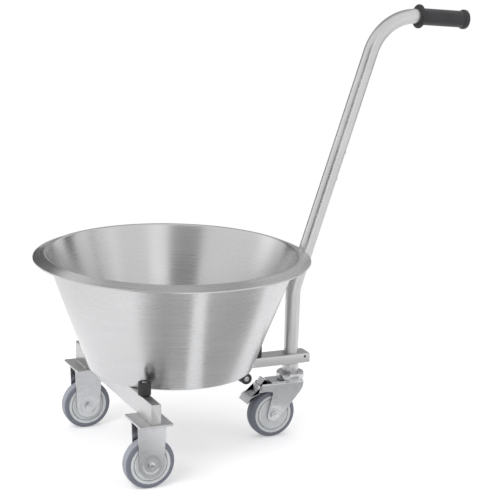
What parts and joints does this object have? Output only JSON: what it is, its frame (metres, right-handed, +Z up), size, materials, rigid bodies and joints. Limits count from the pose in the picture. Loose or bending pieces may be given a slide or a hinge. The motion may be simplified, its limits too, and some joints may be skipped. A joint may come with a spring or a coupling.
{
  "type": "wheeled bowl trolley",
  "caption": "Conical stainless bowl resting on a T-shaped tube frame with fixed castors, a braked swivel castor and a leaning push handle.",
  "frame": {"origin": "on the floor, at the middle of the overall length and width", "axes": "+Z up, +X from the bowl towards the handle, +Y to the left of a person pushing it; wheels turn about +Y"},
  "size_m": [0.9169, 0.5474, 0.8868],
  "materials": {
    "satin_tube": "satin ground stainless steel",
    "polished_bowl": "bright, brushed round the bowl",
    "pressed_steel": "pressed stainless sheet, lightly polished",
    "plated_steel": "bright",
    "grip_black": "soft moulded black",
    "rubber_black": "matt",
    "tyre_grey": "smooth grey non-marking rubber",
    "wheel_plastic": "light grey moulded",
    "guard_plastic": "pale grey, smooth"
  },
  "bodies": {
    "frame": {"crossbar_tube": "satin_tube", "crossbar_end_caps": "satin_tube", "spine_tube": "satin_tube", "spine_end_cap": "satin_tube", "castor_sleeve": "satin_tube", "sleeve_plug": "plated_steel", "handle_lower_tube": "satin_tube", "handle_upper_tube": "satin_tube", "handle_spigot": "satin_tube", "handle_screws": "plated_steel", "handle_grip": "grip_black", "front_near_buffer": "rubber_black", "front_far_buffer": "rubber_black", "rear_buffer": "rubber_black", "buffer_screws": "plated_steel", "buffer_nuts": "plated_steel", "stop_bracket": "satin_tube", "stop_buffer": "rubber_black", "stop_screw": "plated_steel", "stop_nut": "plated_steel", "near_plate": "satin_tube", "near_fork": "pressed_steel", "near_axle_sleeve": "plated_steel", "near_axle_bolt": "plated_steel", "near_axle_nut": "plated_steel", "far_plate": "satin_tube", "far_fork": "pressed_steel", "far_axle_sleeve": "plated_steel", "far_axle_bolt": "plated_steel", "far_axle_nut": "plated_steel", "swivel_head": "plated_steel", "kingpin": "plated_steel", "castor_bolt": "plated_steel"},
    "bowl": {"bowl": "polished_bowl"},
    "near_wheel": {"near_tyre": "tyre_grey", "near_wheel_core": "wheel_plastic", "near_thread_guards": "guard_plastic"},
    "far_wheel": {"far_tyre": "tyre_grey", "far_wheel_core": "wheel_plastic", "far_thread_guards": "guard_plastic"},
    "fork": {"swivel_fork": "plated_steel", "crown_plate": "plated_steel", "swivel_balls": "plated_steel", "brake_pin": "plated_steel", "swivel_axle_sleeve": "plated_steel", "swivel_axle_bolt": "plated_steel", "swivel_axle_nut": "plated_steel"},
    "swivel_wheel": {"swivel_tyre": "tyre_grey", "swivel_wheel_core": "wheel_plastic", "swivel_thread_guards": "guard_plastic"},
    "brake": {"brake_pedal": "pressed_steel", "brake_shoe": "rubber_black"}
  },
  "joints": [
    {"name": "bowl_lift", "type": "slide", "parent": "frame", "child": "bowl", "axis": [0, 0, 1], "range_m": [0, 0.25]},
    {"name": "near_wheel_spin", "type": "hinge", "parent": "frame", "child": "near_wheel", "pos_m": [-0.29919, -0.1815, 0.05], "axis": [0, 1, 0], "continuous": true},
    {"name": "far_wheel_spin", "type": "hinge", "parent": "frame", "child": "far_wheel", "pos_m": [-0.29919, 0.1815, 0.05], "axis": [0, 1, 0], "continuous": true},
    {"name": "castor_swivel", "type": "hinge", "parent": "frame", "child": "fork", "pos_m": [0.08331, 0, 0.118], "axis": [0, 0, 1], "continuous": true},
    {"name": "swivel_wheel_spin", "type": "hinge", "parent": "fork", "child": "swivel_wheel", "pos_m": [0.04131, 0, 0.05], "axis": [0, 1, 0], "continuous": true},
    {"name": "brake_press", "type": "hinge", "parent": "fork", "child": "brake", "pos_m": [0.04331, 0, 0.1105], "axis": [0, -1, 0], "range_deg": [0, 8]}
  ]
}
